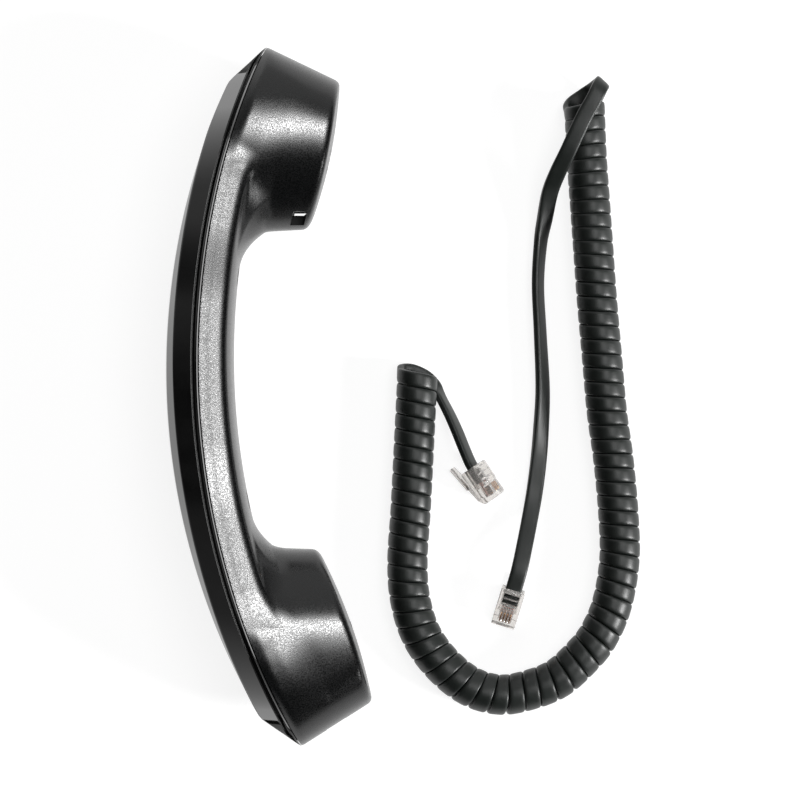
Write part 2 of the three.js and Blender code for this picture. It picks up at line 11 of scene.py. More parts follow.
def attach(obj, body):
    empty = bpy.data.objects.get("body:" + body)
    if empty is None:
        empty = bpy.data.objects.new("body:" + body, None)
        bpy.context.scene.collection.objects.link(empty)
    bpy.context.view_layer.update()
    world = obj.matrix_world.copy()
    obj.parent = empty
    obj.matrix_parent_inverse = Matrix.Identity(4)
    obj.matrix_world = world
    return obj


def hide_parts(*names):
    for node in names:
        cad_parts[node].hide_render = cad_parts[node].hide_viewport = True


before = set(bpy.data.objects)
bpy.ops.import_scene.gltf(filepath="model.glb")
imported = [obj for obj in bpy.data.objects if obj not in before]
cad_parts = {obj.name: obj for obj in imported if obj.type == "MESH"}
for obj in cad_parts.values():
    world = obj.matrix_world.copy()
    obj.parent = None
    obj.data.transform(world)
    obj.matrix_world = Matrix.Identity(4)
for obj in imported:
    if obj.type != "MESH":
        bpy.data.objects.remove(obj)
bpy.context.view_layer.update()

MM = 0.001

# ---- Driving dimensions, in millimetres unless a name says otherwise ----

HALF_LENGTH = 110.9
HALF_WIDTH = 24.5
GRIP_HALF_WIDTH = 24.0
MID_Z = HALF_WIDTH
WALL = 2.0
SEAM_GAP = 0.15
# The handle is narrowest around its middle: where that is, half how long, and the blend's length.
GRIP_MIDDLE = 8
GRIP_REACH = 22
GRIP_BLEND = 24
# Where the ends begin to round off, seen from the cups, and how squarely they do.
ROUND_START = 68.0
ROUND_POWER = 2.4

# Side-view arcs: centre x, centre y, radius.
SEAM = (225.9, 11.05, 247.35)
BACK = (184.2, 8.4, 216.7)
GRIP = (213.9, 12.8, 225.0)

TOP_TIP = (-0.4, 110.9)
BOTTOM_TIP = (10.7, -110.9)
TOP_BACK_CORNER = (-13.6, 98.2)
BOTTOM_BACK_CORNER = (-3.4, -100.8)
FLANK_DEPTH = 7.9
BEVEL_DROP = 6.6
BEVEL_RUN = 2.6
BACK_CORNER = 0.6
BACK_CROWN = 0.7
# Back shell's edge at the joint, with a lip and a groove: depth behind the joint, and how far
# in from the side. Then how much every corner of its section is rounded, in order.
JOINT_EDGE = [(0.0, 1.3), (0.0, 0.25), (0.62, 0.2), (0.74, 0.85), (2.05, 1.45), (2.25, 0.1)]
BACK_ROUNDING = [0.16, 0.16, 0.1, 0.15, 0.05, 0.4, 0.6]
# The flank's slope along the handle, how much steeper it is over the cups, and from where.
FLANK_SLOPE = 0.05
FLANK_STEEPER = 0.12
FLANK_STEEPER_FROM = 70
FLANK_STEEPER_OVER = 35
# Depth and half width under which the edge and the wall get smaller.
EDGE_FULL = (3.2, 3.0)
WALL_FULL = (4.6, 6.0)

# Cups: the face's centre and outward direction in side view, then the outer and inner wall
# and the half width from the joint to the face.
EAR_CUP = {
    "centre": (17.4, 76.25), "outward": (0.978, -0.206),
    "outer": [(-18.0, 119.7), (-0.4, 110.9), (20.6, 100.8), (26.0, 98.2)],
    "inner": [(-22.0, 47.0), (-8.0, 48.6), (-1.0, 52.3), (10.4, 52.9), (20.0, 53.4)],
    "half": [24.5, 24.5, 24.2, 22.9, 22.3], "crest": 6.5, "lift": 0.3,
}
MOUTH_CUP = {
    "centre": (24.65, -72.75), "outward": (0.941, 0.338),
    "outer": [(-8.0, -122.7), (10.7, -110.9), (31.9, -97.4), (38.0, -93.5)],
    "inner": [(-20.0, -42.0), (-4.0, -44.9), (1.5, -48.0), (14.0, -48.4), (24.0, -48.7)],
    "half": [24.5, 24.5, 24.2, 22.9, 22.3], "crest": 3.2, "lift": -0.2,
}
CUP_POWER = 2.25
FACE_ROUNDING = 1.9
FACE_DOME = 1.9
FACE_FALL = 0.6
FILLET = 9.0
FILLET_FADE = 7.0
# Front shell's flank: its draft, how the handle's sides draw in with depth, and the low bead
# beside the joint as height, depth and width.
DRAFT = 0.07
DRAFT_SHARE = 0.8
FLANK_GAP = 0.05
BOW_SLOPE = 0.03
BOW_CURVE = 0.0065
BOW_DEPTH = 9
BEAD = (0.07, 1.9, 0.9)
# The flank swells over the cups: height, where it starts, over what length, its most, and the
# depth it takes to rise. At the mouth it ends again between two depths.
SWELL = {"high": 1.6, "from": 73, "over": 16, "most": 1.3, "rise": 3}
SWELL_END = (8, 18)
GRIP_CROWN = 2.5
GRIP_ROUNDING = 1.7
END_DEPTH = 33.0
END_ROUNDING = 6.0
FLANK_ROUNDING = 1.2
JOINT_OVERLAP = 2.5
SCREW_BOSS = 4.2
EAR_DRILL = ((18.3, 74.7), (-0.9742, 0.2257))
MOUTH_DRILL = ((25.7, -72.4), (-0.941, -0.338))
EAR_HOLES = {"ring": 6.0, "radius": 1.25, "count": 6}
MOUTH_SLOT = {"long": 9.0, "wide": 2.0}
WINDOW = {"x": (7.0, 11.4), "lean": 1.2, "y": (54.2, 58.4), "deep": 21.0}
JACK = {"centre": (21.6, -104.0), "outward": (0.538, -0.843), "wide": 8.3, "tall": 7.2}
JACK_DEPTH = 5.0
SCREW_STATIONS = (38.0, -33.0)
SCREW_RECESS = (3.0, 2.4)
SCREW_BORE = (1.6, 40.0)
HOLE_DEPTH = 9.0
# The stop between the two windows of the hanger, as its extent in X, Y and Z. It is a dark matte
# block: painted shade that makes the window look dark.
WINDOW_SHADE = ((6.4, 12.2), (54.05, 57.3), (24.0, 29.2))
# How finely the front shell and its hollow are made.
SHELL_STEP = 0.8
HOLLOW_STEP = 1.6
FRONT_BOX = ((-30.0, -113.5, -2.0), (37.0, 113.5, 51.0))

# Cord: flat, four cores, wound into a coil between two straight leads.
LEAD_WIDTH = 5.3
CORD_THICK = 2.4
COIL_RADIUS = 6.5
COIL_Z = 0.00655
COIL_STEPS = 40
CORD_SQUARENESS = 4.4
CURVE_FINENESS = 24
LEAD_STEP = 0.8
LEAD_FADE = 14
COIL_ROUTE_M = [
    (0.0474, 0.0072), (0.0468, -0.0050), (0.0461, -0.0190), (0.0452, -0.0364),
    (0.0442, -0.0524), (0.0450, -0.0646), (0.0485, -0.0761), (0.0553, -0.0857),
    (0.0642, -0.0928), (0.0739, -0.0955), (0.0835, -0.0939), (0.0924, -0.0902),
    (0.1001, -0.0833), (0.1053, -0.0767), (0.1097, -0.0665), (0.1121, -0.0524),
    (0.1118, -0.0380), (0.1102, -0.0203), (0.1081, -0.0050), (0.1065, 0.0130),
    (0.1049, 0.0310), (0.1038, 0.0463), (0.1027, 0.0617), (0.1016, 0.0771),
    (0.1009, 0.0940),
]
# Distance along the coil in millimetres, and the pitch of its turns there.
COIL_PITCH = [(0, 4.8), (55, 4.8), (80, 4.8), (105, 4.95), (150, 4.95), (180, 4.6), (400, 4.5)]
# The last turns lean back on their left: how far at the very end, and over how many turns.
COIL_LEAN = 3.4
COIL_LEAN_TURNS = 11.0
# Spacing of the points on the coil's middle line, then where its turns start on that line and
# how much of the last turn has to be there.
COIL_SAMPLE = 0.5
COIL_START = 0.6
COIL_FIRST = -0.25
COIL_LAST_SHARE = 0.45
# The cord narrows to this share of the pitch in the coil, and never below this width.
TURN_SHARE = 0.965
TURN_NARROWEST = 3.6

# Leads: each point in metres, then the way the flat cord's width lies there.
SHORT_LEAD = [
    ((0.0682, -0.0271, 0.00495), (-0.36, -0.25, 0.90)),
    ((0.0649, -0.0223, 0.00495), (-0.38, -0.26, 0.89)),
    ((0.0626, -0.0172, 0.0046), (-0.38, -0.25, 0.89)),
    ((0.0603, -0.0115, 0.0040), (-0.38, -0.24, 0.89)),
    ((0.0579, -0.0061, 0.0035), (-0.34, -0.21, 0.92)),
    ((0.0557, -0.0018, 0.0031), (-0.30, -0.18, 0.94)),
    ((0.0541, 0.0012, 0.0026), (-0.34, -0.28, 0.90)),
    ((0.0522, 0.0036, 0.0018), (-0.60, -0.64, 0.45)),
    ((0.0494, 0.0062, 0.0013), (-0.45, -0.89, 0.05)),
    ((0.0455, 0.0080, 0.0018), (-0.20, -0.97, 0.0)),
    ((0.0424, 0.0080, 0.0038), (-0.05, -1.0, 0.05)),
]
LONG_LEAD = [
    ((0.0958, 0.0915, 0.0038), (-0.30, 0.95, 0.05)),
    ((0.0972, 0.0940, 0.0020), (-0.45, 0.89, 0.0)),
    ((0.1005, 0.0962, 0.0018), (-0.55, 0.83, 0.0)),
    ((0.1036, 0.0982, 0.0032), (-0.62, 0.78, 0.0)),
    ((0.1058, 0.0998, 0.0070), (-0.68, 0.73, 0.0)),
    ((0.1063, 0.1001, 0.0112), (-0.73, 0.68, 0.0)),
    ((0.1055, 0.0986, 0.0139), (-0.80, 0.60, 0.0)),
    ((0.1037, 0.0949, 0.0147), (-0.86, 0.50, 0.0)),
    ((0.1008, 0.0898, 0.0147), (-0.86, 0.50, 0.0)),
    ((0.0980, 0.0839, 0.0145), (-0.88, 0.46, 0.0)),
    ((0.0951, 0.0776, 0.0136), (-0.90, 0.42, 0.0)),
    ((0.0922, 0.0716, 0.0115), (-0.90, 0.42, 0.10)),
    ((0.0898, 0.0653, 0.0086), (-0.90, 0.40, 0.30)),
    ((0.0882, 0.0569, 0.0052), (-0.80, 0.25, 0.60)),
    ((0.0869, 0.0490, 0.0031), (-0.62, 0.10, 0.80)),
    ((0.0861, 0.0361, 0.0029), (-0.52, 0.02, 0.86)),
    ((0.0868, 0.0207, 0.0029), (-0.56, 0.0, 0.83)),
    ((0.0876, 0.0028, 0.00275), (-0.70, 0.0, 0.71)),
    ((0.0871, -0.0101, 0.00245), (-0.84, 0.0, 0.54)),
    ((0.0863, -0.0204, 0.00205), (-0.94, 0.05, 0.35)),
    ((0.0850, -0.0306, 0.0022), (-0.98, 0.10, 0.15)),
    ((0.0833, -0.0400, 0.0039), (-0.97, 0.20, 0.0)),
    ((0.0816, -0.0484, 0.0061), (-0.96, 0.25, 0.0)),
    ((0.0801, -0.0552, 0.0074), (-0.956, 0.28, 0.0)),
    ((0.07835, -0.06145, 0.0067), (-0.956, 0.292, 0.0)),
    ((0.0767, -0.0669, 0.0055), (-0.956, 0.292, 0.0)),
]

# Modular plugs: centre in metres, then heading, roll and pitch in degrees. In its own frame a
# plug points its nose along +Y, its contacts lie on the +Z side and its latch on the -Z side.
PLUG = {"wide": 7.65, "tall": 6.6, "long": 12.2}
PLUG_EDGE = 0.22
FINE_EDGE = 0.05
# A plug's hollows. The bore for the cord: half width, length and half height. The channels for
# the cores: half width, how far from each end, and half height. The openings in the top: half
# width, where they start and end from the rear, and the height of their floor.
PLUG_BORE = (2.85, 7.0, 1.45)
PLUG_CHANNEL = (2.2, 6.5, 1.6, 0.62)
PLUG_OPENINGS = [(2.55, 1.3, 2.75, 0.5), (2.55, 3.15, 4.7, 0.5), (2.0, 5.45, 6.1, 0.9)]
CONTACT = {"pitch": 1.02, "thick": 0.34, "slot": 0.62, "long": 3.5, "tall": 3.4}
CONTACT_SLOT = (4.8, 1.6)
CORE = {"radius": 0.44, "from_rear": 4.2, "from_nose": 1.8, "rings": 12, "sides": 12}
LATCH = {"wide": 3.25, "thick": 1.1, "long": 14.2, "spread": 2.9}
PLUG_PLACES = {
    "plug_a": ((0.0685, -0.0276, 0.00495), -145.6, -64.0, 0.0),
    "plug_b": ((0.0765, -0.0675, 0.00535), 163.0, 0.0, -12.0),
}

# Camera, straight above.
EYE = (0.0418, -0.0011, 2.0005)
LENS = 280.0
SENSOR = 36.0


# ---- Small helpers ----

def link(name, mesh):
    piece = bpy.data.objects.new(name, mesh)
    bpy.context.scene.collection.objects.link(piece)
    return piece


def mesh_of(name, points, faces):
    """A mesh from points in millimetres."""
    mesh = bpy.data.meshes.new(name)
    mesh.from_pydata((np.asarray(points, float) * MM).tolist(), [], [tuple(f) for f in faces])
    mesh.validate()
    fixed = bmesh.new()
    fixed.from_mesh(mesh)
    bmesh.ops.recalc_face_normals(fixed, faces=fixed.faces)
    fixed.to_mesh(mesh)
    fixed.free()
    return mesh


def smooth_with_edges(piece, degrees):
    """Smooth shading, with the edges that turn more than this kept sharp."""
    mesh = piece.data
    work = bmesh.new()
    work.from_mesh(mesh)
    limit = math.radians(degrees)
    for edge in work.edges:
        edge.smooth = len(edge.link_faces) == 2 and edge.calc_face_angle(0.0) < limit
    for face in work.faces:
        face.smooth = True
    work.to_mesh(mesh)
    work.free()


def apply_modifiers(piece):
    shown = piece.evaluated_get(bpy.context.evaluated_depsgraph_get())
    mesh = bpy.data.meshes.new_from_object(shown)
    piece.modifiers.clear()
    piece.data = mesh


def cut(piece, others, operation="DIFFERENCE"):
    """Joins or cuts with other closed objects, which are used up."""
    for other in others:
        modifier = piece.modifiers.new("cut", "BOOLEAN")
        modifier.operation = operation
        modifier.solver = "MANIFOLD"
        modifier.object = other
    bpy.context.view_layer.update()
    apply_modifiers(piece)
    for other in others:
        bpy.data.objects.remove(other)


def loft(rings):
    """Points and quads through rings of equal point counts, with its two ends closed."""
    count = len(rings[0])
    points = np.concatenate(rings)
    faces = []
    for k in range(len(rings) - 1):
        for i in range(count):
            j = (i + 1) % count
            faces.append((k * count + i, k * count + j, (k + 1) * count + j, (k + 1) * count + i))
    faces.append(tuple(range(count)))
    last = (len(rings) - 1) * count
    faces.append(tuple(last + i for i in reversed(range(count))))
    return points, faces


def prism(outline, low, high):
    """Points and faces of an outline in X and Y, from low to high in Z."""
    rings = [np.array([(x, y, z) for x, y in outline], float) for z in (low, high)]
    return loft(rings)


def evenly(line, step):
    """The line again, with its points step apart."""
    along = np.concatenate([[0], np.cumsum(np.linalg.norm(np.diff(line[:, :3], axis=0), axis=1))])
    at = np.linspace(0, along[-1], max(2, int(round(along[-1] / step)) + 1))
    return np.stack([np.interp(at, along, line[:, k]) for k in range(line.shape[1])], axis=1)


def curve_through(points):
    """Points on the smooth curve through the given ones, CURVE_FINENESS for each stretch."""
    p = np.asarray(points, float)
    p = np.vstack([2 * p[0] - p[1], p, 2 * p[-1] - p[-2]])
    t = np.linspace(0, 1, CURVE_FINENESS, endpoint=False)[:, None]
    parts = []
    for a, b, c, d in zip(p[:-3], p[1:-2], p[2:-1], p[3:]):
        parts.append(0.5 * (2 * b + (c - a) * t + (2 * a - 5 * b + 4 * c - d) * t**2
                            + (3 * b - a - 3 * c + d) * t**3))
    return np.vstack(parts + [p[-2:-1]])


def unit(v):
    return v / np.maximum(np.linalg.norm(v, axis=-1, keepdims=True), 1e-12)


# ---- Camera ----

def make_camera():
    data = bpy.data.cameras.new("camera")
    data.lens = LENS
    data.sensor_width = SENSOR
    data.clip_start, data.clip_end = 0.05, 20.0
    camera = bpy.data.objects.new("camera", data)
    camera.location = EYE
    bpy.context.scene.collection.objects.link(camera)
    bpy.context.scene.camera = camera


make_camera()


# ---- The cord ----

def coil_line():
    """Centres of the coiled cord, the way its width lies and its width, all in millimetres."""
    axis = curve_through([(x, y, COIL_Z) for x, y in COIL_ROUTE_M]) / MM
    axis = evenly(axis, COIL_SAMPLE)
    ahead = unit(np.gradient(axis, axis=0))
    side = np.cross([0.0, 0.0, 1.0], ahead)
    bend = (np.gradient(ahead, COIL_SAMPLE, axis=0) * side).sum(1)
    along = COIL_SAMPLE * np.arange(len(axis))
    pitch = np.interp(along, *zip(*COIL_PITCH))
    turned = np.concatenate([[0], np.cumsum(COIL_SAMPLE / pitch[:-1])])
    first, last = COIL_FIRST, math.floor(turned[-1] - COIL_LAST_SHARE) - COIL_FIRST
    turn = np.linspace(first, last, int((last - first) * COIL_STEPS) + 1)
    place = np.interp(turn - COIL_FIRST, turned, along) + COIL_START

    def at(values):
        return np.stack([np.interp(place, along, values[:, k]) for k in range(3)], axis=1)

    centre, ahead, side = at(axis), unit(at(ahead)), unit(at(side))
    angle = 2 * math.pi * turn[:, None]
    near_end = np.clip(1 - (last - turn) / COIL_LEAN_TURNS, 0, 1)[:, None]
    centre = centre - ahead * COIL_LEAN * near_end * (1 + np.sin(angle)) / 2
    out = np.cos(angle) * np.array([0.0, 0.0, 1.0]) + np.sin(angle) * side
    radius = COIL_RADIUS - CORD_THICK / 2
    spacing = np.interp(place, along, pitch) * (
        1 - np.interp(place, along, bend) * radius * np.sin(angle[:, 0]))
    width = np.clip(TURN_SHARE * spacing, TURN_NARROWEST, LEAD_WIDTH)
    return centre + radius * out, ahead, width


def cord_line():
    """The whole cord: centres in metres, directions of its width, and widths in millimetres."""
    coil, coil_wide, coil_width = coil_line()
    leads = []
    for lead in (SHORT_LEAD, LONG_LEAD):
        points = np.array([(*place, *wide) for place, wide in lead])
        points[:, :3] /= MM
        leads.append(points)
    ends = [np.hstack([coil[:1], coil_wide[:1]]), np.hstack([coil[-1:], coil_wide[-1:]])]
    before = np.vstack([leads[0], ends[0], np.hstack([coil[3:4], coil_wide[3:4]])])
    after = np.vstack([np.hstack([coil[-4:-3], coil_wide[-4:-3]]), ends[1], leads[1]])
    short = curve_through(before)
    short = evenly(short[:-CURVE_FINENESS], LEAD_STEP)[:-1]
    long = curve_through(after)
    long = evenly(long[CURVE_FINENESS:], LEAD_STEP)[1:]
    line = np.vstack([short[:, :3], coil, long[:, :3]])
    wide = np.vstack([short[:, 3:], coil_wide, long[:, 3:]])
    widths = np.concatenate([
        np.interp(np.arange(len(short)), [len(short) - LEAD_FADE, len(short)],
                  [LEAD_WIDTH, coil_width[0]]),
        coil_width,
        np.interp(np.arange(len(long)), [0, LEAD_FADE], [coil_width[-1], LEAD_WIDTH]),
    ])
    ahead = unit(np.gradient(line, axis=0))
    wide = unit(wide - (wide * ahead).sum(1)[:, None] * ahead)
    thick = np.cross(ahead, wide)
    return line, wide, thick, widths


def cord_section(width, sides=20):
    """Outline of the flat jacket: a rectangle with well rounded corners."""
    angle = 2 * math.pi * (np.arange(sides) + 0.5) / sides
    c, s = np.cos(angle), np.sin(angle)
    power = 2 / CORD_SQUARENESS
    across = np.sign(c) * np.abs(c) ** power
    deep = np.sign(s) * np.abs(s) ** power
    return across * width / 2, deep * CORD_THICK / 2


def make_cord():
    line, wide, thick, widths = cord_line()
    rings = []
    for centre, a, b, width in zip(line, wide, thick, widths):
        across, deep = cord_section(width)
        rings.append(centre + across[:, None] * a + deep[:, None] * b)
    points, faces = loft(rings)
    piece = link("cord", mesh_of("cord", points, faces))
    smooth_with_edges(piece, 60)
    return piece, line * MM


cord, cord_path = make_cord()


# ---- Shape of the handset ----

def arc_x(arc, y):
    cx, cy, radius = arc
    return cx - np.sqrt(radius * radius - (y - cy) ** 2)


def side_half(y):
    """Half width of the handset at y, without the rounding of its ends."""
    t = np.clip((np.abs(y - GRIP_MIDDLE) - GRIP_REACH) / GRIP_BLEND, 0, 1)
    return GRIP_HALF_WIDTH + (HALF_WIDTH - GRIP_HALF_WIDTH) * t * t * (3 - 2 * t)


def plan_half(y):
    t = np.clip((np.abs(y) - ROUND_START) / (HALF_LENGTH - ROUND_START), 0, 1)
    return side_half(y) * (1 - t**ROUND_POWER) ** (1 / ROUND_POWER)


def smooth_max(a, b, radius):
    """The larger of two distances, with the edge between them rounded."""
    near = np.maximum(radius - np.abs(a - b), 0) / radius
    return np.maximum(a, b) + near * near * radius / 4


def smooth_min(a, b, radius):
    return -smooth_max(-a, -b, radius)


def rounded(corners, radii, steps=3, support=0.3):
    """The outline through the corners with each one rounded, always with the same point count."""
    corners = np.asarray(corners, float)
    line = [corners[0]]
    for before, corner, after, radius in zip(corners[:-2], corners[1:-1], corners[2:], radii):
        back, on = before - corner, after - corner
        long_back, long_on = np.linalg.norm(back), np.linalg.norm(on)
        reach = min(radius, 0.4 * long_back, 0.4 * long_on)
        outer = min(reach + min(support, 2 * radius), 0.48 * long_back, 0.48 * long_on)
        a, b = corner + back / long_back * reach, corner + on / long_on * reach
        line.append(corner + back / long_back * outer)
        for t in np.linspace(0, 1, steps + 2):
            line.append((1 - t) ** 2 * a + 2 * t * (1 - t) * corner + t * t * b)
        line.append(corner + on / long_on * outer)
    line.append(corners[-1])
    return np.array(line)


# ---- Back shell ----

def end_stations():
    """Places along Y, close together where the ends round off."""
    angle = np.radians(np.linspace(0, 88.6, 34))
    ends = ROUND_START + (HALF_LENGTH - ROUND_START) * np.sin(angle) ** (2 / ROUND_POWER)
    middle = np.linspace(-ROUND_START, ROUND_START, 60)[1:-1]
    return np.concatenate([-ends[::-1], middle, ends])


def end_line(corner, tip, y):
    """Where the straight line from a back corner to its tip is at y."""
    return corner[0] + (y - corner[1]) * ((tip[0] - corner[0]) / (tip[1] - corner[1]))


def back_x(y):
    top = end_line(TOP_BACK_CORNER, TOP_TIP, y)
    bottom = end_line(BOTTOM_BACK_CORNER, BOTTOM_TIP, y)
    return smooth_max(smooth_max(arc_x(BACK, y), top, BACK_CORNER), bottom, BACK_CORNER)


def back_section(y):
    """Outline of the back shell across Y: [depth behind the joint, height above the middle]."""
    depth = max(arc_x(SEAM, y) - SEAM_GAP - back_x(y), 0.05)
    half = max(float(plan_half(y)), 0.3)
    fit = min(1.0, depth / EDGE_FULL[0], half / EDGE_FULL[1])
    run = min(max((depth - FLANK_DEPTH) / BEVEL_RUN, 0.0), 1.0)
    flank = min(FLANK_DEPTH, depth - 0.4 * fit)
    near_end = min(max((abs(y) - FLANK_STEEPER_FROM) / FLANK_STEEPER_OVER, 0), 1)
    fall = flank * (FLANK_SLOPE + FLANK_STEEPER * near_end) * fit
    drop = fall + max(BEVEL_DROP * run, 0.4 * fit)
    crown = BACK_CROWN * fit
    corners = [(behind * fit, half - inward * fit) for behind, inward in JOINT_EDGE]
    corners += [(flank, half - fall), (depth - crown, half - drop),
                (depth - crown * 0.45, (half - drop) * 0.66)]
    edge = rounded(corners, BACK_ROUNDING)
    cap = [(depth - crown * (k / 6) ** 2, (half - drop) * k / 6) for k in (3, 2, 1)]
    outer = np.vstack([edge, cap])
    wall = WALL * min(1.0, depth / WALL_FULL[0], half / WALL_FULL[1])
    inner = np.array([
        (0.0, half - wall), (flank - 0.4 * wall, half - wall - fall),
        (depth - crown - wall, half - wall - drop), (depth - crown - wall, 0.0),
    ])
    return outer, inner


def make_back():
    rings = []
    for y in end_stations():
        outer, inner = back_section(y)
        flip = np.array([1.0, -1.0])
        crown_point = [(outer[-1][0], 0.0)]
        loop = np.vstack([outer, crown_point, outer[::-1] * flip,
                          inner[:-1] * flip, inner[-1:], inner[:-1][::-1]])
        seam = arc_x(SEAM, y) - SEAM_GAP
        rings.append(np.stack([seam - loop[:, 0], np.full(len(loop), y), MID_Z + loop[:, 1]], 1))
    points, faces = loft(rings)
    piece = link("back_cover", mesh_of("back_cover", points, faces))
    smooth_with_edges(piece, 60)
    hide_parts("back_shell")
    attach(piece, "handset")
    return piece


back_cover = make_back()


# ---- Front shell ----

def superellipse(u, w, reach, half, power):
    """Distance outside an oval, from its gauge."""
    gauge = ((np.abs(u) / reach) ** power + (np.abs(w) / half) ** power) ** (1 / power)
    size = np.sqrt(u * u + w * w)
    return size * (1 - 1 / np.maximum(gauge, 1e-3))


def cup_distance(cup, x, y, z):
    """Distance outside a cup, whose crest leans towards its end of the handset."""
    cx, cy = cup["centre"]
    ax, ay = cup["outward"]
    turn = 1.0 if cup is EAR_CUP else -1.0
    ex, ey = -ay * turn, ax * turn
    s = (x - cx) * ax + (y - cy) * ay
    u = (x - cx) * ex + (y - cy) * ey

    def wall(points):
        p = np.array(points) - np.array([cx, cy])
        depth = p @ np.array([ax, ay])
        return np.interp(s, depth, p @ np.array([ex, ey]))

    outer, inner = wall(cup["outer"]), wall(cup["inner"])
    depths = (np.array(cup["inner"]) - np.array([cx, cy])) @ np.array([ax, ay])
    half = np.interp(s, depths, cup["half"])
    reach = (outer - inner) / 2
    across = u - (outer + inner) / 2
    crest = np.clip(1 - (across / reach) ** 2, 0, 1)
    side = superellipse(across - cup["crest"] * crest, z, reach, half, CUP_POWER)
    face = s - cup["lift"] - FACE_DOME * crest + FACE_FALL * (z / half) ** 2
    return smooth_max(side, face, FACE_ROUNDING)


def end_wall(tip, cup, x, y):
    """Distance outside the flat end between a tip and its cup's face."""
    (ax, ay), (bx, by) = tip, cup["outer"][2]
    long = math.hypot(bx - ax, by - ay)
    turn = math.copysign(1.0, ay)
    return turn * ((x - ax) * (ay - by) + (y - ay) * (bx - ax)) / long


def bow(depth):
    """How far the handle's side draws in at a depth in front of the joint."""
    high, middle, wide = BEAD
    bead = high * np.exp(-((depth - middle) / wide) ** 2)
    return BOW_SLOPE * depth + BOW_CURVE * np.minimum(depth, BOW_DEPTH) ** 2 + bead


def swell(y, depth):
    """How far the flank stands out over the cups."""
    along = np.clip((np.abs(y) - SWELL["from"]) / SWELL["over"], 0, SWELL["most"])
    full, gone = SWELL_END
    near_joint = np.where(y < 0, np.clip((gone - depth) / (gone - full), 0, 1), 1.0)
    return SWELL["high"] * along * np.clip(depth / SWELL["rise"], 0, 1) * near_joint


def front_distance(p):
    """Distance of points outside the front shell's outer form, as if it had no joint."""
    x, y, z = p[:, 0], p[:, 1], p[:, 2] - MID_Z
    seam = arc_x(SEAM, y)
    depth = np.maximum(x - seam, 0)
    slope = (plan_half(y + 0.05) - plan_half(y - 0.05)) / 0.1
    draft = DRAFT_SHARE * (DRAFT * depth)
    side = np.abs(z) - plan_half(y) - FLANK_GAP - swell(y, depth) + draft
    flank = side / np.sqrt(1 + slope * slope)
    face = x - arc_x(GRIP, y) + GRIP_CROWN * (z / HALF_WIDTH) ** 4
    handle = smooth_max(face, np.abs(z) - side_half(y) + bow(depth), GRIP_ROUNDING)
    top = end_wall(TOP_TIP, EAR_CUP, x, y) + END_DEPTH
    bottom = end_wall(BOTTOM_TIP, MOUTH_CUP, x, y) + END_DEPTH
    handle = smooth_max(smooth_max(handle, top, END_ROUNDING), bottom, END_ROUNDING)
    fillet = FILLET * np.clip((HALF_WIDTH - np.abs(z)) / FILLET_FADE, 0.3, 1.0)
    body = smooth_min(handle, cup_distance(EAR_CUP, x, y, z), fillet)
    body = smooth_min(body, cup_distance(MOUTH_CUP, x, y, z), fillet)
    body = smooth_max(body, flank, FLANK_ROUNDING)
    return np.maximum(body, seam - JOINT_OVERLAP - x)


def inner_distance(p):
    """The hollow inside the front shell, which leaves its two screw bosses standing."""
    hollow = front_distance(p) + WALL
    for y in SCREW_STATIONS:
        boss = SCREW_BOSS - np.hypot(p[:, 1] - y, p[:, 2] - MID_Z)
        hollow = np.maximum(hollow, boss)
    return hollow


def surface_of(distance, low, high, step):
    """The closed surface where a distance is zero, as points pulled onto it and quads."""
    axes = [np.arange(a, b + step, step) for a, b in zip(low, high)]
    grid = np.stack(np.meshgrid(*axes, indexing="ij"), axis=-1)
    shape = grid.shape[:3]
    value = distance(grid.reshape(-1, 3)).reshape(shape)
    inside = value < 0
    cells = tuple(n - 1 for n in shape)
    total = np.zeros(cells + (3,))
    count = np.zeros(cells)
    corner = np.array([axes[k][0] for k in range(3)])
    for axis in range(3):
        a = [slice(None)] * 3
        b = [slice(None)] * 3
        a[axis], b[axis] = slice(0, -1), slice(1, None)
        a, b = tuple(a), tuple(b)
        crossing = inside[a] != inside[b]
        share = np.where(crossing, value[a] / np.where(crossing, value[a] - value[b], 1.0), 0.0)
        place = grid[a].copy()
        place[..., axis] += share * step
        others = [k for k in range(3) if k != axis]
        for shift_one in (0, 1):
            for shift_two in (0, 1):
                pick = [slice(0, n) for n in cells]
                pick[others[0]] = slice(shift_one, cells[others[0]] + shift_one)
                pick[others[1]] = slice(shift_two, cells[others[1]] + shift_two)
                pick = tuple(pick)
                total += np.where(crossing[pick][..., None], place[pick], 0.0)
                count += crossing[pick]
    used = count > 0
    number = np.full(cells, -1)
    number[used] = np.arange(used.sum())
    points = total[used] / count[used][:, None]
    faces = []
    for axis in range(3):
        a = [slice(1, -1)] * 3
        b = [slice(1, -1)] * 3
        a[axis], b[axis] = slice(0, -1), slice(1, None)
        one, two = inside[tuple(a)], inside[tuple(b)]
        others = [k for k in range(3) if k != axis]
        for flipped in (False, True):
            hit = np.argwhere((one & ~two) if not flipped else (~one & two))
            base = hit.copy()
            base[:, others[0]] += 1
            base[:, others[1]] += 1
            quad = []
            for d_one, d_two in ((0, 0), (-1, 0), (-1, -1), (0, -1)):
                cell = base.copy()
                cell[:, others[0]] += d_one
                cell[:, others[1]] += d_two
                quad.append(number[cell[:, 0], cell[:, 1], cell[:, 2]])
            quad = np.stack(quad, axis=1)
            if flipped != (axis == 1):
                quad = quad[:, ::-1]
            faces.append(quad)
    faces = np.concatenate(faces)
    nudge = 0.05
    for _ in range(3):
        here = distance(points)
        slope = np.stack([
            (distance(points + nudge * np.eye(3)[k]) - distance(points - nudge * np.eye(3)[k]))
            / (2 * nudge) for k in range(3)], axis=1)
        move = here[:, None] * slope / np.maximum((slope**2).sum(1), 0.2)[:, None]
        points = points - np.clip(move, -0.5 * step, 0.5 * step)
    return points, faces


def side_view_block(name, outline, low, high):
    points, faces = prism(outline, low, high)
    return link(name, mesh_of(name, points, faces))


